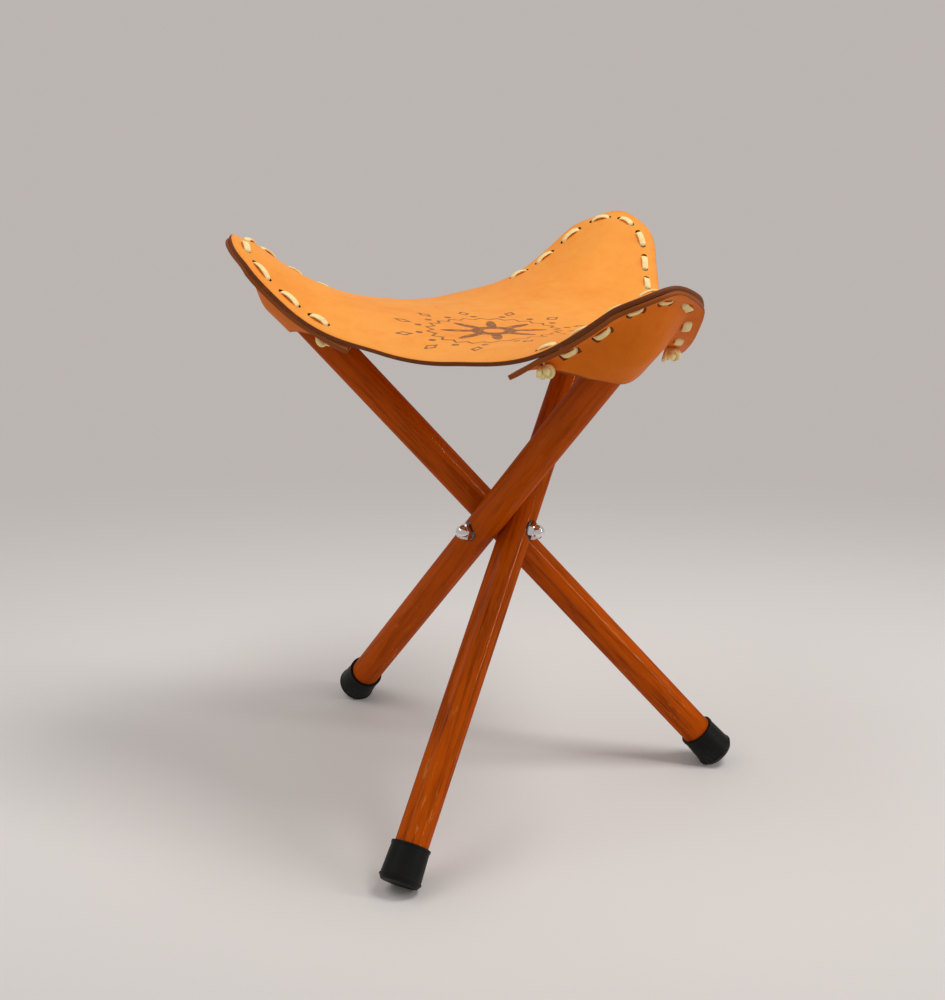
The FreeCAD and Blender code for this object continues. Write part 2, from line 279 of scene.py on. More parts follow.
class Field:
    """A socket in a material's nodes. Arithmetic on it adds Math nodes; make() adds any other node."""

    def __init__(self, tree, socket=None):
        self.tree = tree
        self.socket = socket

    def make(self, kind, settings=None, inputs=None, output=None):
        """Add a node, set its settings, then its sockets' values or links, and return one of its outputs."""
        node = self.tree.nodes.new(kind)
        for name, value in (settings or {}).items():
            setattr(node, name, value)
        for name, value in (inputs or {}).items():
            socket = self.find(node.inputs, name)
            if isinstance(value, Field):
                self.tree.links.new(value.socket, socket)
            elif hasattr(value, "__len__") and socket.type == "RGBA":
                socket.default_value = (*value[:3], 1.0)
            else:
                socket.default_value = value
        return Field(self.tree, self.find(node.outputs, output))

    @staticmethod
    def find(sockets, name):
        """A socket by its place or its name among those in use."""
        active = [s for s in sockets if s.enabled]
        if name is None:
            return active[0]
        if isinstance(name, int):
            return active[name]
        return next(s for s in active if s.name == name)

    def math(self, operation, *values):
        """A Math node on this value and others."""
        return self.make("ShaderNodeMath", {"operation": operation}, dict(enumerate((self, *values))))

    def __add__(self, other):
        return self.math("ADD", other)

    def __sub__(self, other):
        return self.math("SUBTRACT", other)

    def __rsub__(self, other):
        return self.make("ShaderNodeMath", {"operation": "SUBTRACT"}, {0: other, 1: self})

    def __mul__(self, other):
        return self.math("MULTIPLY", other)

    def __truediv__(self, other):
        return self.math("DIVIDE", other)

    __radd__ = __add__
    __rmul__ = __mul__

    def ease(self, start, end):
        """0 where this value is at start, 1 at end, eased between."""
        return self.make("ShaderNodeMapRange", {"interpolation_type": "SMOOTHSTEP"},
                         {"Value": self, "From Min": start, "From Max": end})

    def choose(self, low, high):
        """Colour that goes from low to high as this value goes from 0 to 1."""
        return self.make("ShaderNodeMix", {"data_type": "RGBA"}, {"Factor": self, "A": low, "B": high})

    def noise(self, scale, detail=3.0, roughness=0.55):
        """Noise on this position, from about 0 to 1."""
        return self.make("ShaderNodeTexNoise", None,
                         {"Vector": self, "Scale": scale, "Detail": detail, "Roughness": roughness})

    def cells(self, scale):
        """Distance to the nearest of scattered points on this position."""
        return self.make("ShaderNodeTexVoronoi", None, {"Vector": self, "Scale": scale})

    def mapped(self, location=(0, 0, 0), rotation=(0, 0, 0), scale=(1, 1, 1)):
        """This position seen from a place that is moved, turned and scaled."""
        return self.make("ShaderNodeMapping", {"vector_type": "TEXTURE"},
                         {"Vector": self, "Location": location, "Rotation": rotation, "Scale": scale})

    def parts(self):
        """The three numbers of this position."""
        split = self.make("ShaderNodeSeparateXYZ", None, {0: self}).socket.node
        return [Field(self.tree, socket) for socket in split.outputs]


def new_material(name):
    """Empty material: its first field and its principled shader."""
    material = bpy.data.materials.new(name)
    material.use_nodes = True
    shader = material.node_tree.nodes["Principled BSDF"]
    return material, Field(material.node_tree), shader


def set_shader(field, shader, bump=None, bump_distance=0.0005, **inputs):
    """Values and links of a principled shader's sockets, and its surface relief."""
    for name, value in inputs.items():
        socket = shader.inputs[name.replace("_", " ").title().replace("Ior", "IOR")]
        if isinstance(value, Field):
            field.tree.links.new(value.socket, socket)
        else:
            socket.default_value = (*value, 1.0) if hasattr(value, "__len__") else value
    if bump is not None:
        relief = field.make("ShaderNodeBump", None,
                            {"Height": bump, "Distance": bump_distance, "Strength": 1.0})
        field.tree.links.new(relief.socket, shader.inputs["Normal"])


def object_position(field):
    """Position on the piece, in metres."""
    return field.make("ShaderNodeTexCoord", None, None, "Object")


def attribute(field, name):
    """One of the piece's own numbers, stored on its points."""
    return field.make("ShaderNodeAttribute", {"attribute_name": name}, None, "Fac")


def rosette(place):
    """1 where the stamped ornament has ink: pointed petals, a zigzag ring, a ring of dots and small lozenges.
    Each is a law of the angle around the ornament's middle and the distance from it."""
    x, y, _ = place.parts()
    radius = (x * x + y * y).math("SQRT")
    angle = y.math("ARCTAN2", x)
    wave = (angle * PETALS).math("COSINE")
    petal = (radius - (PETAL_FOOT + PETAL_LENGTH * wave.math("MAXIMUM", 0.0))).ease(0.0006, -0.0006)
    eye = (radius - EYE_RADIUS).ease(-0.0004, 0.0004)
    zigzag = (angle * ZIGZAGS).math("COSINE").math("ARCCOSINE") / math.pi
    ring = (radius - (ZIGZAG_RING + ZIGZAG_HEIGHT * zigzag)).math("ABSOLUTE").ease(0.0012, 0.0006)
    dot_angle = (angle * (DOTS / math.tau)).math("FRACT") - 0.5
    dot = ((dot_angle * (DOT_RING * math.tau / DOTS)).math("POWER", 2.0)
           + (radius - DOT_RING).math("POWER", 2.0)).math("SQRT")
    dots = dot.ease(0.0024, 0.0017)
    lozenge_angle = ((angle * (LOZENGES / math.tau)).math("FRACT") - 0.5).math("ABSOLUTE")
    lozenge = lozenge_angle * LOZENGE_PITCH * LOZENGE_SLENDER + (radius - LOZENGE_RING).math("ABSOLUTE")
    lozenges = lozenge.ease(0.0060, 0.0052) * lozenge.ease(0.0026, 0.0034)
    return (petal * eye).math("MAXIMUM", ring).math("MAXIMUM", dots).math("MAXIMUM", lozenges)


def grain_leather(name, tan, deep_tan, stamped):
    """Smooth side of vegetable-tanned leather: patchy tan, pores and rubbed edges, and on the seat a worn
    stamped ornament."""
    leather = bpy.context.scene.stool_leather
    material, field, shader = new_material(name)
    place = object_position(field)
    patches = place.noise(11.0, 4.0, 0.6)
    mottle = place.noise(70.0, 5.0, 0.65)
    pores = place.cells(620.0)
    marks = place.mapped(rotation=(0.0, 0.0, 0.6), scale=(0.12, 1.0, 1.0)).noise(55.0, 2.0).ease(0.66, 0.74)
    depth = (patches.ease(0.35, 0.75) * 0.5 + mottle.ease(0.4, 0.8) * 0.35 + marks * 0.2).math("MINIMUM", 1.0)
    colour = depth.choose(tan, deep_tan)
    rubbed = attribute(field, "rim_distance").ease(*RUBBED_SPAN) * 0.55
    colour = rubbed.choose(colour, deep_tan)
    if stamped:
        fade = place.noise(240.0, 3.0, 0.7).ease(0.30, 0.52) * 0.55 + 0.3
        ink = rosette(place.mapped(location=ORNAMENT_PLACE, scale=ORNAMENT_STRETCH)) * fade
        colour = ink.choose(colour, leather.ink)
    height = pores.ease(0.0, 0.45) * 0.35 + mottle * 0.4 + marks * 0.3
    set_shader(field, shader, bump=height, bump_distance=0.00018, base_color=colour,
               roughness=0.42 + mottle * 0.16 - rubbed * 0.1, specular_ior_level=0.08)
    return material


def cut_leather(name, burnish):
    """Cut edge of the leather: dark and rubbed smooth, with fine fibres and paler worn patches."""
    leather = bpy.context.scene.stool_leather
    material, field, shader = new_material(name)
    place = object_position(field)
    fibres = place.noise(900.0, 3.0, 0.7)
    worn = place.noise(120.0, 3.0).ease(0.55, 0.8)
    colour = (fibres.ease(0.45, 0.85) * 0.25 + worn * 0.25).choose(burnish, leather.deep_pocket_tan)
    set_shader(field, shader, bump=fibres, bump_distance=0.0002, base_color=colour,
               roughness=0.45 + fibres * 0.2, specular_ior_level=0.2)
    return material


def flesh_leather():
    """Rough side of the leather: matt, with short fibres."""
    leather = bpy.context.scene.stool_leather
    material, field, shader = new_material("leather_flesh_side")
    place = object_position(field)
    fibres = place.noise(750.0, 4.0, 0.75)
    patches = place.noise(25.0, 3.0)
    colour = (fibres * 0.5 + patches * 0.5).ease(0.35, 0.7).choose(leather.flesh, leather.deep_tan)
    set_shader(field, shader, bump=fibres, bump_distance=0.0004, base_color=colour, roughness=0.85)
    return material


def lace_cream():
    """Cream lace: fibres along it, soiled in patches."""
    lace = bpy.context.scene.stool_lace
    material, field, shader = new_material("cream_lace")
    along = field.make("ShaderNodeTexCoord", None, None, "UV")
    fibres = along.mapped(scale=(1.0, 0.08, 1.0)).noise(260.0, 3.0, 0.65)
    soil = object_position(field).noise(95.0, 3.0).ease(0.48, 0.78)
    colour = (fibres.ease(0.5, 0.8) * 0.45 + soil * 0.4).choose(lace.cream, lace.soiled)
    set_shader(field, shader, bump=fibres, bump_distance=0.0004, base_color=colour, roughness=0.62)
    return material


def corner_turn(corner):
    """Angle about the upright axis from the left corner to another."""
    return CORNERS.index(corner) * math.tau / 3


def stained_wood(corner):
    """Varnished leg: grain along the bar, dark pores, worn streaks near the foot, gloss over it."""
    wood = bpy.context.scene.stool_frame
    material, field, shader = new_material("stained_wood_" + corner)
    turn = corner_turn(corner)
    offset = Matrix.Rotation(turn, 3, "Z") @ Vector((0.0, LEG_OFFSET, BOLT_HEIGHT))
    place = object_position(field).mapped(location=offset, rotation=(0.0, -LEG_TILT, turn))
    along = place.parts()[2]
    bands = place.mapped(location=(0.3 * turn, 0.0, 0.0), scale=(1.0, 1.0, 14.0)).noise(210.0, 4.0, 0.6)
    pores = place.mapped(scale=(1.0, 1.0, 26.0)).noise(620.0, 3.0, 0.7)
    clouds = place.mapped(location=(0.0, turn, 0.0)).noise(14.0, 3.0)
    depth = bands.ease(0.40, 0.70) * 0.55 + pores.ease(0.5, 0.72) * 0.35 + clouds.ease(0.5, 0.8) * 0.25
    colour = (depth * GRAIN_STRENGTH[corner]).math("MINIMUM", 1.0).choose(wood.stain, wood.dark_stain)
    low = along.ease(*WORN_SPAN)
    scuffs = place.mapped(location=(0.0, 0.0, turn), scale=(1.0, 1.0, 5.0)).noise(170.0, 4.0, 0.7)
    worn = scuffs.ease(0.58, 0.70) * (0.15 + low * 0.65)
    colour = worn.choose(colour, wood.bare_wood)
    set_shader(field, shader, bump=pores * 0.5 + bands * 0.5 - worn * 0.6, bump_distance=0.00012,
               base_color=colour, roughness=0.34 + worn * 0.25 + clouds * 0.08,
               specular_ior_level=0.0, coat_weight=0.11 - worn * 0.09, coat_roughness=0.07)
    return material


def black_rubber():
    """Moulded rubber: matt black, greyed by dust towards the floor."""
    rubber = bpy.context.scene.stool_frame.rubber
    material, field, shader = new_material("black_rubber")
    place = object_position(field)
    speckle = place.noise(420.0, 4.0, 0.7)
    height = place.parts()[2]
    dust = height.ease(*DUST_SPAN) * speckle.ease(0.35, 0.75) * 0.35 + speckle.ease(0.68, 0.8) * 0.12
    colour = dust.choose(rubber, DUST_COLOUR)
    set_shader(field, shader, bump=speckle, bump_distance=0.00012, base_color=colour,
               roughness=0.48 + dust * 0.4, specular_ior_level=0.12)
    return material


def plated_steel(name, roughness, tone):
    """Plated steel with a faint haze and fine scratches; tone darkens it."""
    steel = tuple(tone * value for value in bpy.context.scene.stool_frame.steel)
    material, field, shader = new_material(name)
    place = object_position(field)
    haze = place.noise(300.0, 4.0, 0.6)
    drawn_out = place.mapped(rotation=(0.3, 0.8, 0.2), scale=(0.05, 1.0, 1.0))
    scratch = drawn_out.noise(900.0, 2.0).ease(0.62, 0.72)
    worn = tuple(0.8 * value for value in steel)
    colour = (haze.ease(0.5, 0.85) * 0.5 + scratch * 0.3).choose(steel, worn)
    set_shader(field, shader, base_color=colour, metallic=1.0,
               roughness=roughness + haze * 0.08 + scratch * 0.1)
    return material


def smooth(value, start, end):
    """Ease from 0 at start to 1 at end."""
    q = np.clip((value - start) / (end - start), 0.0, 1.0)
    return q * q * (3.0 - 2.0 * q)


def corner_place(x, y):
    """Distance out along the nearest corner's middle line and distance across it."""
    angle = math.pi - SEAT_TWIST + np.arange(3) * math.tau / 3
    x, y = np.asarray(x)[..., None], np.asarray(y)[..., None]
    along = x * np.cos(angle) + y * np.sin(angle)
    across = x * np.sin(angle) - y * np.cos(angle)
    nearest = along.argmax(-1)[..., None]
    return np.take_along_axis(along, nearest, -1)[..., 0], np.take_along_axis(across, nearest, -1)[..., 0]


def edge_distance(x, y):
    """Distance inwards from the seat's outline in plan: from an arc at a corner, otherwise from a straight
    side."""
    along, across = corner_place(x, y)
    beyond, across = along - CORNER_CENTRE, np.abs(across)
    on_arc = across < beyond * math.sqrt(3.0)
    return CORNER_RADIUS - np.where(on_arc, np.hypot(beyond, across), beyond * 0.5 + across * math.sqrt(0.75))


def seat_top(x, y):
    """Height of the seat's upper face: a square-law bowl, corners rising with the cube of the distance along
    the corner's middle line, less a rounded roof over each leg and an eased droop at each tip."""
    along, across = corner_place(x, y)
    roof = np.hypot(across, RIDGE_ROUNDING) - RIDGE_ROUNDING
    return (BOLT_HEIGHT + SEAT_CENTRE + SEAT_BOWL * (x * x + y * y)
            + SEAT_CORNER_RISE * (along ** 3 - 3 * along * across ** 2)
            - RIDGE_FALL * smooth(along, *RIDGE_SPAN) * roof - TIP_DROOP * smooth(along, *TIP_SPAN))


def surface(height, x, y, depth=0.0):
    """Points that lie a depth below a height function, measured square to it, and the directions up there."""
    step = 0.0004
    slope_x = (height(x + step, y) - height(x - step, y)) / (2 * step)
    slope_y = (height(x, y + step) - height(x, y - step)) / (2 * step)
    up = np.stack([-slope_x, -slope_y, np.ones_like(slope_x)], -1)
    up /= np.linalg.norm(up, axis=-1, keepdims=True)
    points = np.stack([x, y, height(x, y)], -1)
    return points - np.asarray(depth)[..., None] * up, up


def seat_under(x, y):
    """Height of the seat's lower face, straight below a point of the upper one."""
    up = surface(seat_top, x, y)[1]
    return seat_top(x, y) - bpy.context.scene.stool_leather.thickness / up[..., 2]


def along_leg(out, height):
    """Distance from the bolt along the left leg of a point at a distance out from the middle."""
    return out * LEG_SIN + (height - BOLT_HEIGHT) * LEG_COS


def pocket_top(x, y):
    """Height of the left pocket's inner face: a face just under the seat, hanging lower at the ears, less a
    rounded trough under the leg that eases out towards the laced edge."""
    out = -x
    seat = seat_under(x, y)
    ear = 1.0 - smooth(along_leg(out, seat), EAR_MOUTH, EAR_MOUTH + EAR_LENGTH)
    hang = EAR_DROPS[0] + (EAR_DROPS[1] - EAR_DROPS[0]) * smooth(y - LEG_OFFSET, *EAR_TWIST_SPAN)
    flap = seat - POCKET_GAP - hang * ear
    lift = POCKET_SLOPE * (np.hypot(y - LEG_OFFSET, POCKET_ROUNDING) - POCKET_ROUNDING) - LEG_RADIUS
    base = BOLT_HEIGHT + (lift + out * LEG_COS) / LEG_SIN
    further = smooth(along_leg(out, base), POCKET_MOUTH, LEG_ABOVE_BOLT)
    slack = POCKET_SLACK[0] + (POCKET_SLACK[1] - POCKET_SLACK[0]) * further
    drop = flap - base + slack / LEG_SIN
    trough = 0.5 * (drop + np.hypot(drop, POCKET_BLEND))
    return flap - trough * smooth(edge_distance(x, y), *SEAM_SPAN)


def mouth_place(across):
    """Distance along the leg at which the pocket is cut off, less at the ears than under the leg."""
    return POCKET_MOUTH + (EAR_MOUTH - POCKET_MOUTH) * smooth(np.abs(across), *EAR_SPAN)


def corner_line(distance, inset):
    """Plan points of the left corner's outline drawn in by an inset: an arc about the corner's centre, then
    straight sides, by the distance from the tip."""
    radius = CORNER_RADIUS - inset
    on_arc = np.clip(distance, -radius * math.pi / 3, radius * math.pi / 3)
    straight = distance - on_arc
    along = CORNER_CENTRE + radius * np.cos(on_arc / radius) - np.abs(straight) * math.sqrt(0.75)
    across = radius * np.sin(on_arc / radius) + straight * 0.5
    angle = math.pi - SEAT_TWIST
    return (along * math.cos(angle) + across * math.sin(angle),
            along * math.sin(angle) - across * math.cos(angle))


def turned(points, corner):
    """Points of the left corner turned about the upright axis to another corner."""
    return points @ np.array(Matrix.Rotation(corner_turn(corner), 3, "Z")).T


def add_piece(name, points, faces, materials, face_slots=None, uv=None):
    """Mesh object at the origin from arrays of points and faces."""
    mesh = bpy.data.meshes.new(name)
    mesh.from_pydata(points.tolist(), [], faces)
    for material in materials:
        mesh.materials.append(material)
    if face_slots is not None:
        mesh.polygons.foreach_set("material_index", face_slots)
    if uv is not None:
        corners = np.zeros(len(mesh.loops), np.int32)
        mesh.loops.foreach_get("vertex_index", corners)
        mesh.uv_layers.new(name="along").data.foreach_set("uv", uv[corners].ravel())
    mesh.shade_smooth()
    piece = bpy.data.objects.new(name, mesh)
    bpy.context.scene.collection.objects.link(piece)
    return piece


def grid_faces(rows, columns):
    """Quads of a grid of points, row after row, the columns joined round."""
    row, column = np.meshgrid(np.arange(rows - 1), np.arange(columns), indexing="ij")
    beside = (column + 1) % columns
    quads = np.stack([row * columns + column, (row + 1) * columns + column,
                      (row + 1) * columns + beside, row * columns + beside], -1)
    return quads.reshape(-1, 4)


def closed_skin(points, poles):
    """Points and faces of a grid whose columns join round and whose end rows close in two poles."""
    rows, columns = points.shape[:2]
    around = np.arange(columns)
    beside = (around + 1) % columns
    count = rows * columns
    first = np.stack([np.full(columns, count), around, beside], -1)
    last = np.stack([np.full(columns, count + 1), count - columns + beside, count - columns + around], -1)
    faces = grid_faces(rows, columns).tolist() + first.tolist() + last.tolist()
    return np.concatenate([points.reshape(-1, 3), poles]), faces


def edge_profile():
    """Rubbed edge of the leather as a flattened half circle: shares of its inset and of the thickness."""
    turn = np.linspace(0.0, math.pi, EDGE_STEPS)[1:-1]
    return 1.0 - np.sin(turn) ** EDGE_SQUARENESS, 0.5 * (1.0 - np.cos(turn))


def seat_sheet(rim, materials, rings=46):
    """Closed sheet under the seat's height function: rings run from the middle out to the rim, round over the
    rubbed edge and back on the lower face."""
    thickness = bpy.context.scene.stool_leather.thickness
    inset, depth = edge_profile()
    share = np.linspace(0.0, 1.0, rings + 1)[1:] ** 0.85
    rim = np.stack(rim, -1)
    reach = np.linalg.norm(rim, axis=-1, keepdims=True)
    face_reach = (reach - EDGE) * share
    reaches = np.concatenate([face_reach, reach - EDGE * inset, face_reach[:, ::-1]], 1).T[..., None]
    depths = np.concatenate([np.zeros(rings), depth * thickness, np.full(rings, thickness)])
    plan = reaches * (rim / reach)[None]
    points = surface(seat_top, plan[..., 0], plan[..., 1], np.repeat(depths[:, None], len(rim), 1))[0]
    middle = np.zeros(2)
    poles = surface(seat_top, middle, middle, np.array((0.0, thickness)))[0]
    points, faces = closed_skin(points, poles)
    band = np.repeat(np.arange(len(depths) - 1), len(rim))
    slots = np.where(band < rings, 0, np.where(band < len(depths) - rings - 1, 1, 2))
    slots = np.concatenate([slots, np.zeros(len(rim), int), np.full(len(rim), 2)])
    return add_piece("seat_leather_sheet", points, faces, materials, slots)


def pocket_sheet(name, outline, mouth, materials, steps=34):
    """Closed sheet between the laced edge and the mouth: for each pair of their points, a straight plan line
    is followed on the inner face, round the edge and back on the outer face; the ear tips are the ends."""
    thickness = bpy.context.scene.stool_leather.thickness
    inset, depth = edge_profile()
    line = mouth - outline
    length = np.linalg.norm(line, axis=-1, keepdims=True)
    edge = np.minimum(EDGE, length * 0.3)
    across = edge + (length - 2 * edge) * np.linspace(0.0, 1.0, steps)
    reach = np.concatenate([across, length - edge * inset, across[:, ::-1], edge * inset[::-1]], 1)[..., None]
    depths = np.concatenate([np.zeros(steps), depth, np.ones(steps), depth[::-1]]) * thickness
    plan = outline[:, None] + reach * (line / length)[:, None]
    points = surface(pocket_top, plan[..., 0], plan[..., 1], np.repeat(depths[None], len(outline), 0))[0]
    points, faces = closed_skin(points, points[[0, -1]].mean(1))
    ring = np.repeat((0, 1, 2, 1), (steps, len(depth), steps, len(depth)))
    slots = np.concatenate([np.tile(ring, len(outline) - 1), np.ones(2 * len(ring), int)])
    return add_piece(name, points, faces, materials, slots)


def stitch_distances():
    """Distances of the lace holes from the tip, along the stitch line."""
    starts = STITCH_SPACE / 2 + np.arange(STITCHES_PER_SIDE) * (STITCH + STITCH_SPACE)
    side = np.stack([starts, starts + STITCH], -1).ravel()
    return np.concatenate([-side[::-1], side * SHORT_SIDE])


def stitch_place(distance):
    """Points on the seat along the left corner's stitch line, directions up through the leather there,
    slanting on one side, and how deep the pocket's lower face lies below, found by stepping towards it."""
    x, y = corner_line(distance, STITCH_INSET)
    points, up = surface(seat_top, x, y)
    edge_slope = surface(edge_distance, x, y)[1]
    slant = STITCH_SLANT * smooth(distance, *SLANT_SPAN) * up[:, 2] / edge_slope[:, 2]
    up[:, :2] += slant[:, None] * edge_slope[:, :2]
    up /= np.linalg.norm(up, axis=1, keepdims=True)
    thickness = bpy.context.scene.stool_leather.thickness
    depth = np.full(len(x), 2 * thickness)
    for _ in range(DEPTH_STEPS):
        low = points - depth[:, None] * up
        pocket_up = surface(pocket_top, low[:, 0], low[:, 1])[1]
        depth += 0.5 * (low[:, 2] - pocket_top(low[:, 0], low[:, 1]) + thickness / pocket_up[:, 2])
    return points, up, depth


def frames_along(path, side):
    """Directions across a path: one near the given side, one square to both."""
    tangent = np.gradient(path, axis=0)
    tangent /= np.linalg.norm(tangent, axis=1, keepdims=True)
    across = side - (side * tangent).sum(1, keepdims=True) * tangent
    across /= np.linalg.norm(across, axis=1, keepdims=True)
    return across, np.cross(tangent, across)


def lace_tube(path, side, half_width, half_thickness):
    """Flat lace of rounded section carried along a path, its ends closed, with places along and round it."""
    across, off = frames_along(path, side)
    angle = np.arange(LACE_SIDES) * math.tau / LACE_SIDES
    wide = np.sign(np.cos(angle)) * np.abs(np.cos(angle)) ** LACE_SQUARENESS[0]
    thick = -np.sign(np.sin(angle)) * np.abs(np.sin(angle)) ** LACE_SQUARENESS[1]
    points = (path[:, None] + across[:, None] * (half_width[:, None] * wide)[..., None]
              + off[:, None] * (half_thickness[:, None] * thick)[..., None])
    points, faces = closed_skin(points, path[[0, -1]])
    length = np.concatenate([[0.0], np.cumsum(np.linalg.norm(np.diff(path, axis=0), axis=1))])
    uv = np.stack(np.broadcast_arrays(angle[None] * LACE_WRAP, length[:, None]), -1).reshape(-1, 2)
    return points, faces, np.concatenate([uv, uv[[0, -1]]])


def softened(values, reach):
    """Values along a path with their corners eased by a sliding weighted mean."""
    weights = np.hanning(2 * reach + 3)[1:-1]
    weights /= weights.sum()
    padded = np.concatenate([np.repeat(values[:1], reach, 0), values, np.repeat(values[-1:], reach, 0)])
    return np.stack([np.convolve(column, weights, "valid") for column in padded.T], -1)


def even_steps(corners, step):
    """Evenly spaced points along a line through corners."""
    length = np.concatenate([[0.0], np.cumsum(np.linalg.norm(np.diff(corners, axis=0), axis=1))])
    places = np.linspace(0.0, length[-1], int(length[-1] / step) + 1)
    return np.stack([np.interp(places, length, column) for column in corners.T], -1)


def lace_path():
    """The lace's route over and under the left corner: distance along the stitch line, share of the way down
    through the leathers, and stand-off from the leather, its corners eased. Gives the path, the direction
    across the lace, and the share of the way down."""
    lace = bpy.context.scene.stool_lace
    holes = stitch_distances()
    rest = lace.thickness * 0.5 + LACE_CLEARANCE
    corners = []
    for number, (here, beyond) in enumerate(zip(holes, holes[1:])):
        face = number % 2
        shoulder = STITCH_SHOULDER * (beyond - here)
        top = rest + lace.arch * (1.0 if here < 0.0 and face == 0 else FLAT_STITCH)
        pull = lace.pull * (1.0 - UNDER_EASE * face)
        here, beyond = here + pull, beyond - pull
        low = rest * HOLE_STAND_OFF
        corners += [(here, face, low), (here + shoulder, face, top), (beyond - shoulder, face, top),
                    (beyond, face, low)]
    ends = [(holes[0], 1.0, rest), (holes[-1], 1.0, rest)]
    corners = np.array([ends[0]] + corners + [ends[1]])
    down = 2 * bpy.context.scene.stool_leather.thickness
    scaled = corners * (1.0, down, 1.0)
    route = softened(even_steps(scaled, LACE_STEP), 4) / (1.0, down, 1.0)
    points, up, depth = stitch_place(route[:, 0])
    low = points - up * depth[:, None]
    under = route[:, 1:2]
    facing = up * (1.0 - under) + surface(pocket_top, low[:, 0], low[:, 1])[1] * under
    path = points + (low - points) * under + facing * route[:, 2:] * (1.0 - 2.0 * under)
    line = np.stack([*corner_line(route[:, 0] + LACE_STEP, STITCH_INSET), points[:, 2]], -1) - points
    side = np.cross(facing, line)
    return path, side, np.clip(route[:, 1], 0.0, 1.0)


def knot_path(place, up, depth, lean):
    """An overhand knot pulled tight on the pocket below a lace hole: part of a three-lobed torus knot, with a
    short tail."""
    low = place - up * depth
    up = surface(pocket_top, *low[:2, None])[1][0]
    turn = np.linspace(KNOT_OPENING, math.tau - KNOT_OPENING, KNOT_POINTS)
    ring = 2.0 + np.cos(3 * turn)
    loop = np.stack([ring * np.cos(2 * turn), ring * np.sin(2 * turn), KNOT_HEIGHT * np.sin(3 * turn)], -1)
    loop *= KNOT_SCALE
    first = np.cross(up, lean)
    first /= np.linalg.norm(first)
    axes = np.stack([first, np.cross(up, first), -up])
    middle = low - up * KNOT_DROP
    loop = middle + loop @ axes
    start = low + up * KNOT_ROOT
    onward = loop[-1] - loop[-2]
    tail = loop[-1] + onward / np.linalg.norm(onward) * KNOT_TAIL - up * KNOT_TAIL_FALL
    corners = np.concatenate([[start], loop, [tail]])
    path = softened(even_steps(corners, LACE_STEP), 3)
    return path, np.cross(np.gradient(path, axis=0), path - middle)


def bored(piece, cutter):
    """Cut the lace holes through a leather piece for good."""
    boolean = piece.modifiers.new("lace holes", "BOOLEAN")
    boolean.object = cutter
    boolean.solver = "EXACT"
    boolean.material_mode = "TRANSFER"
    graph = bpy.context.evaluated_depsgraph_get()
    mesh = bpy.data.meshes.new_from_object(piece.evaluated_get(graph))
    piece.modifiers.clear()
    piece.data = mesh
    mesh.name = piece.name
    mesh.shade_smooth()
    mesh.set_sharp_from_angle(angle=SHARP_ANGLE)


def hole_cutter(corners, material):
    """Closed round bars, one through each lace hole of the named corners."""
    radius = bpy.context.scene.stool_leather.hole / 2
    points, up, depth = stitch_place(stitch_distances())
    angle = np.arange(HOLE_SIDES) * math.tau / HOLE_SIDES
    aside = (0.3, 0.2, 0.9)
    first = np.cross(up, aside)
    first /= np.linalg.norm(first, axis=1, keepdims=True)
    ring = first[:, None] * np.cos(angle)[:, None] + np.cross(up, first)[:, None] * np.sin(angle)[:, None]
    ends = np.stack([points + up * BAR_SPARE, points - up * (depth + BAR_SPARE)[:, None]], 1)
    bars = (ends[:, :, None] + radius * ring[:, None]).reshape(-1, 3)
    bar_points = 2 * HOLE_SIDES
    caps = [list(range(HOLE_SIDES)), list(range(bar_points - 1, HOLE_SIDES - 1, -1))]
    each = grid_faces(2, HOLE_SIDES).tolist() + caps
    every = np.concatenate([turned(bars, corner) for corner in corners])
    starts = range(0, len(every), bar_points)
    faces = [[start + corner for corner in face] for start in starts for face in each]
    return add_piece("lace_hole_bars", every, faces, [material])


def mark_rim(piece, rim_points):
    """Store on each point of a piece its distance to the rim."""
    mesh = piece.data
    points = np.zeros(len(mesh.vertices) * 3)
    mesh.vertices.foreach_get("co", points)
    points = points.reshape(-1, 3)
    nearest = np.full(len(points), np.inf)
    for part in np.array_split(rim_points, 8):
        nearest = np.minimum(nearest, np.linalg.norm(points[:, None] - part[None], axis=2).min(1))
    mesh.attributes.new("rim_distance", "FLOAT", "POINT").data.foreach_set("value", nearest)


def seat_rim():
    """Plan points around the whole seat, counter-clockwise."""
    half = CORNER_RADIUS * math.pi / 3 + CORNER_CENTRE * math.sqrt(0.75)
    distance = np.linspace(half, -half, RIM_POINTS, endpoint=False)
    corner = np.stack([*corner_line(distance, 0.0), np.zeros(len(distance))], -1)
    return np.concatenate([turned(corner, name) for name in CORNERS])[:, :2].T


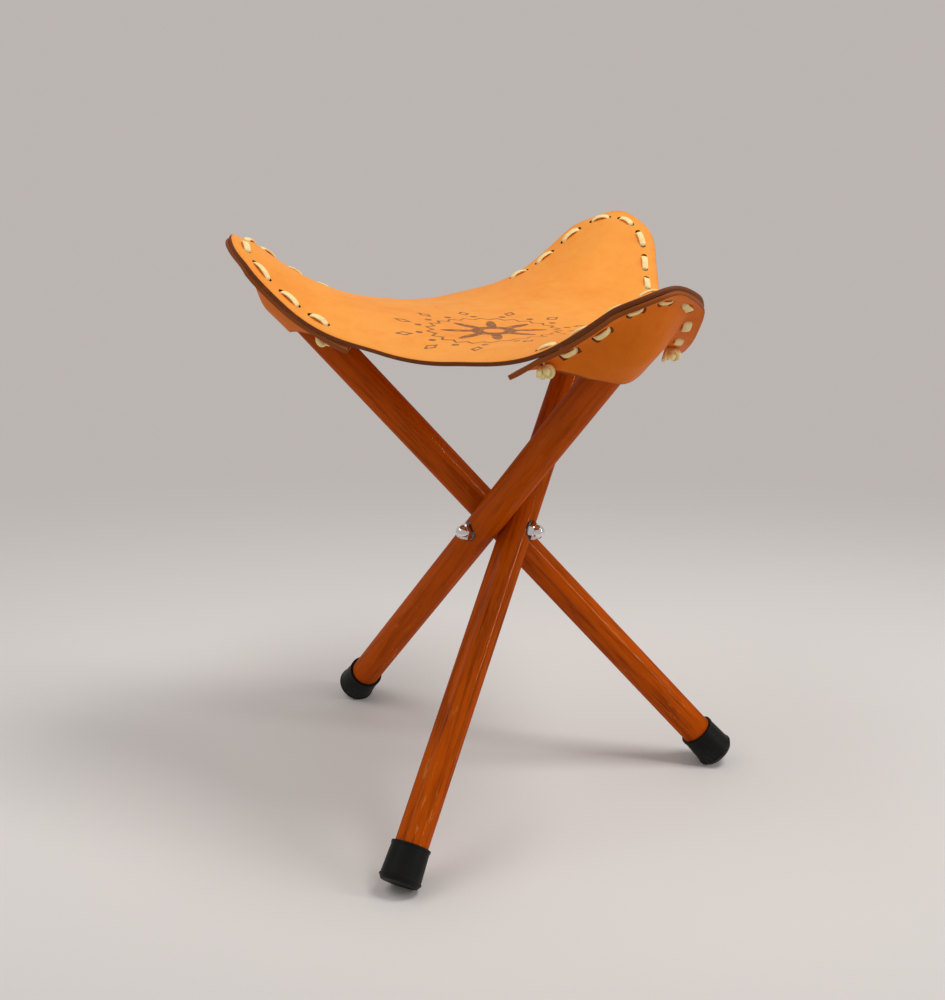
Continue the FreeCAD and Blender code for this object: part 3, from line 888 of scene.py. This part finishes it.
def pocket_rim():
    """Plan points of the left pocket from ear tip to ear tip: along the seat's outline, and along the mouth,
    where halving finds the distance out at which the leg's distance is that of the mouth."""
    thickness = bpy.context.scene.stool_leather.thickness

    def on_outline(distance):
        """Points just under the seat's outline, by the distance from the tip."""
        depth = np.full(len(distance), thickness + POCKET_GAP)
        return surface(seat_top, *corner_line(distance, 0.0), depth)[0]

    ears = []
    for side in (1.0, -1.0):
        distance = side * np.linspace(*EAR_SEARCH, EAR_SAMPLES)
        x, y, _ = on_outline(distance).T
        outside = mouth_place(y - LEG_OFFSET) - along_leg(-x, pocket_top(x, y))
        ears.append(np.interp(0.0, outside, distance))
    share = np.linspace(*POCKET_SHARES, POCKET_POINTS)
    outline = on_outline(ears[0] + (ears[1] - ears[0]) * share)[:, :2]
    tips = on_outline(np.array(ears))
    y = tips[0, 1] + (tips[1, 1] - tips[0, 1]) * share
    low, high = [np.full(len(y), limit) for limit in MOUTH_SEARCH]
    for _ in range(MOUTH_HALVINGS):
        middle = (low + high) / 2
        short = along_leg(middle, pocket_top(-middle, y)) < mouth_place(y - LEG_OFFSET)
        low, high = np.where(short, middle, low), np.where(short, high, middle)
    return outline, np.stack([-low, y], -1)


def leather_materials():
    """The leather's finishes, made once."""
    if "burnished_edge" not in bpy.data.materials:
        leather = bpy.context.scene.stool_leather
        grain_leather("seat_grain", leather.tan, leather.deep_tan, True)
        grain_leather("pocket_grain", leather.pocket_tan, leather.deep_pocket_tan, False)
        cut_leather("burnished_edge", leather.burnish)
        cut_leather("pocket_edge", leather.pocket_burnish)
        flesh_leather()
    names = ("seat_grain", "burnished_edge", "pocket_grain", "pocket_edge", "leather_flesh_side")
    return [bpy.data.materials[name] for name in names]


class STOOL_OT_seat(bpy.types.Operator):
    """Hang the leather seat, bored for its laces"""

    bl_idname = "stool.seat"
    bl_label = "Seat leather"

    def execute(self, context):
        seat_grain, edge, _, _, flesh = leather_materials()
        rim = seat_rim()
        piece = seat_sheet(rim, [seat_grain, edge, flesh])
        cutter = hole_cutter(CORNERS, edge)
        bored(piece, cutter)
        bpy.data.objects.remove(cutter)
        mark_rim(piece, surface(seat_top, *rim)[0])
        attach(piece, "seat")
        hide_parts("seat_panel")
        return {"FINISHED"}


class STOOL_OT_pockets(bpy.types.Operator):
    """Lace a leather pocket under each corner of the seat"""

    bl_idname = "stool.pockets"
    bl_label = "Leg pockets"

    def execute(self, context):
        _, _, pocket_grain, edge, flesh = leather_materials()
        thickness = context.scene.stool_leather.thickness
        outline, mouth = pocket_rim()
        rim = np.concatenate([outline, mouth]).T
        for corner in CORNERS:
            piece = pocket_sheet("pocket_leather_" + corner, outline, mouth, [flesh, edge, pocket_grain])
            cutter = hole_cutter(("left",), edge)
            bored(piece, cutter)
            bpy.data.objects.remove(cutter)
            mark_rim(piece, surface(pocket_top, *rim, np.full(rim.shape[1], thickness))[0])
            piece.data.transform(Matrix.Rotation(corner_turn(corner), 4, "Z"))
            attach(piece, "seat")
            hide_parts("pocket_" + corner)
        return {"FINISHED"}


class STOOL_OT_laces(bpy.types.Operator):
    """Run the flat lace around each corner and knot its ends"""

    bl_idname = "stool.laces"
    bl_label = "Laces"

    def execute(self, context):
        lace = context.scene.stool_lace
        material = lace_cream()
        path, side, under = lace_path()
        inside = 4.0 * under * (1.0 - under)
        half_width = lace.width / 2 * (1.0 - HOLE_NARROWING * inside + UNDER_WIDENING * under)
        half_thickness = lace.thickness / 2 * (1.0 + HOLE_THICKENING * inside)
        tubes = [lace_tube(path, side, half_width, half_thickness)]
        holes = stitch_distances()[[0, -1]]
        for place, up, depth in zip(*stitch_place(holes)):
            route, side = knot_path(place, up, depth, Vector((1.0, 0.0, 0.0)))
            even = np.ones(len(route))
            knot_width = even * lace.width * KNOT_WIDTH
            tubes.append(lace_tube(route, side, knot_width, even * lace.thickness * KNOT_THICKNESS))
        points = np.concatenate([tube[0] for tube in tubes])
        uv = np.concatenate([tube[2] for tube in tubes])
        faces = []
        start = 0
        for tube in tubes:
            faces += [[start + corner for corner in face] for face in tube[1]]
            start += len(tube[0])
        for corner in CORNERS:
            piece = add_piece("lace_strip_" + corner, turned(points, corner), faces, [material], None, uv)
            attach(piece, "seat")
            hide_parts("lace_" + corner)
        return {"FINISHED"}


class STOOL_OT_legs(bpy.types.Operator):
    """Stain and varnish the legs, and black the rubber feet"""

    bl_idname = "stool.legs"
    bl_label = "Legs and feet"

    def execute(self, context):
        rubber = black_rubber()
        for corner in CORNERS:
            frame["nodes"]["leg_" + corner].material_slots[0].material = stained_wood(corner)
            frame["nodes"]["foot_" + corner].material_slots[0].material = rubber
        return {"FINISHED"}


class STOOL_OT_bolt(bpy.types.Operator):
    """Plate the bolt, its washers and its domed nuts"""

    bl_idname = "stool.bolt"
    bl_label = "Three-way bolt"

    def execute(self, context):
        bright = plated_steel("bright_steel", 0.06, 1.0)
        plain = plated_steel("bolt_steel", 0.32, 0.7)
        dull = plated_steel("washer_steel", 0.38, 0.25)
        frame["nodes"]["three_way_bolt"].material_slots[0].material = plain
        for corner in CORNERS:
            frame["nodes"]["washer_" + corner].material_slots[0].material = dull
            frame["nodes"]["cap_nut_" + corner].material_slots[0].material = bright
        return {"FINISHED"}


class STOOL_OT_stage(bpy.types.Operator):
    """Pale floor that fades into the backdrop, soft lamps, even light and the camera"""

    bl_idname = "stool.stage"
    bl_label = "Stage"

    def floor(self, stage):
        """Flat oval floor with painted shade that darkens it a little towards the front, that fades out far
        from the stool.
        """
        material, field, shader = new_material("pale_floor")
        x, y, _ = object_position(field).parts()
        reach = ((x * FLOOR_OVAL) * (x * FLOOR_OVAL) + y * y).math("SQRT")
        # Painted shade: the floor's colour darkens towards the front
        colour = (y.ease(*FLOOR_PAINTED_SHADE_SPAN) * FLOOR_PAINTED_SHADE_DEPTH).choose(stage.floor, (0.0, 0.0, 0.0))
        set_shader(field, shader, base_color=colour, roughness=0.75)
        clear = field.make("ShaderNodeBsdfTransparent")
        solid = Field(field.tree, shader.outputs[0])
        mix = field.make("ShaderNodeMixShader", None, {0: reach.ease(*FLOOR_FADE), 1: solid, 2: clear})
        field.tree.links.new(mix.socket, field.tree.nodes["Material Output"].inputs["Surface"])
        radius = np.linspace(0.0, 1.0, FLOOR_RINGS + 1)[1:, None]
        angle = np.arange(FLOOR_SIDES) * math.tau / FLOOR_SIDES
        points = np.stack([FLOOR_SIZE[0] * radius * np.cos(angle), FLOOR_SIZE[1] * radius * np.sin(angle),
                           np.zeros((FLOOR_RINGS, FLOOR_SIDES))], -1).reshape(-1, 3)
        faces = grid_faces(FLOOR_RINGS, FLOOR_SIDES).tolist()
        faces += [[len(points), side, (side + 1) % FLOOR_SIDES] for side in range(FLOOR_SIDES)]
        piece = add_piece("stage_floor", np.concatenate([points, np.zeros((1, 3))]), faces, [material])

    def backdrop(self, stage):
        """World light: the backdrop's colour for the camera and in reflections, even light for the rest."""
        world = bpy.data.worlds.new("studio")
        bpy.context.scene.world = world
        world.use_nodes = True
        field = Field(world.node_tree)
        path = field.make("ShaderNodeLightPath").socket.node
        camera, glossy, through = [Field(field.tree, path.outputs[name])
                                   for name in ("Is Camera Ray", "Is Glossy Ray", "Is Transmission Ray")]
        seen = camera.math("MAXIMUM", glossy).math("MAXIMUM", through)
        light = field.make("ShaderNodeBackground", None, {"Color": AMBIENT_TINT, "Strength": stage.ambient})
        view = field.make("ShaderNodeBackground", None, {"Color": tuple(stage.backdrop), "Strength": 1.0})
        mix = field.make("ShaderNodeMixShader", None, {0: seen, 1: light, 2: view})
        field.tree.links.new(mix.socket, field.tree.nodes["World Output"].inputs["Surface"])

    def lamp(self, name, place, size, power):
        """Soft lamp of a given width and height that points at the seat."""
        lamp = bpy.data.lights.new(name, "AREA")
        lamp.shape = "RECTANGLE"
        lamp.size, lamp.size_y = size
        lamp.energy = power
        piece = bpy.data.objects.new(name, lamp)
        piece.location = place
        piece.rotation_euler = (LAMP_TARGET - Vector(place)).to_track_quat("-Z", "Y").to_euler()
        bpy.context.scene.collection.objects.link(piece)

    def camera(self, stage):
        """Camera at the photograph's angle: turned, tipped down and rolled a little."""
        camera = bpy.data.cameras.new("camera")
        camera.lens = stage.lens
        piece = bpy.data.objects.new("camera", camera)
        turn = (Matrix.Rotation(CAMERA_YAW, 4, "Z") @ Matrix.Rotation(math.pi / 2 - CAMERA_PITCH, 4, "X")
                @ Matrix.Rotation(CAMERA_ROLL, 4, "Z"))
        piece.matrix_world = Matrix.Translation(CAMERA_PLACE) @ turn
        bpy.context.scene.collection.objects.link(piece)
        bpy.context.scene.camera = piece

    def execute(self, context):
        stage = context.scene.stool_stage
        context.scene.view_settings.view_transform = "Standard"
        self.floor(stage)
        self.backdrop(stage)
        for lamp in LAMPS:
            self.lamp(*lamp)
        self.camera(stage)
        return {"FINISHED"}


class STOOL_PT_panel(bpy.types.Panel):
    """Lists the stool's pieces"""

    bl_idname = "STOOL_PT_panel"
    bl_label = "Folding tripod stool"
    bl_space_type = "VIEW_3D"
    bl_region_type = "UI"
    bl_category = "Stool"

    def draw(self, context):
        for operator in OPERATORS:
            self.layout.operator(operator.bl_idname)


SETTINGS = {"stool_leather": LeatherSettings, "stool_lace": LaceSettings, "stool_frame": FrameSettings,
            "stool_stage": StageSettings}
OPERATORS = (STOOL_OT_seat, STOOL_OT_pockets, STOOL_OT_laces, STOOL_OT_legs, STOOL_OT_bolt, STOOL_OT_stage)


def register():
    for name, group in SETTINGS.items():
        bpy.utils.register_class(group)
        setattr(bpy.types.Scene, name, PointerProperty(type=group))
    for item in (*OPERATORS, STOOL_PT_panel):
        bpy.utils.register_class(item)


def unregister():
    for item in (STOOL_PT_panel, *reversed(OPERATORS)):
        bpy.utils.unregister_class(item)
    for name, group in SETTINGS.items():
        delattr(bpy.types.Scene, name)
        bpy.utils.unregister_class(group)


def main():
    register()
    for piece in ("seat", "pockets", "laces", "legs", "bolt", "stage"):
        getattr(bpy.ops.stool, piece)()


if __name__ == "__main__":
    main()
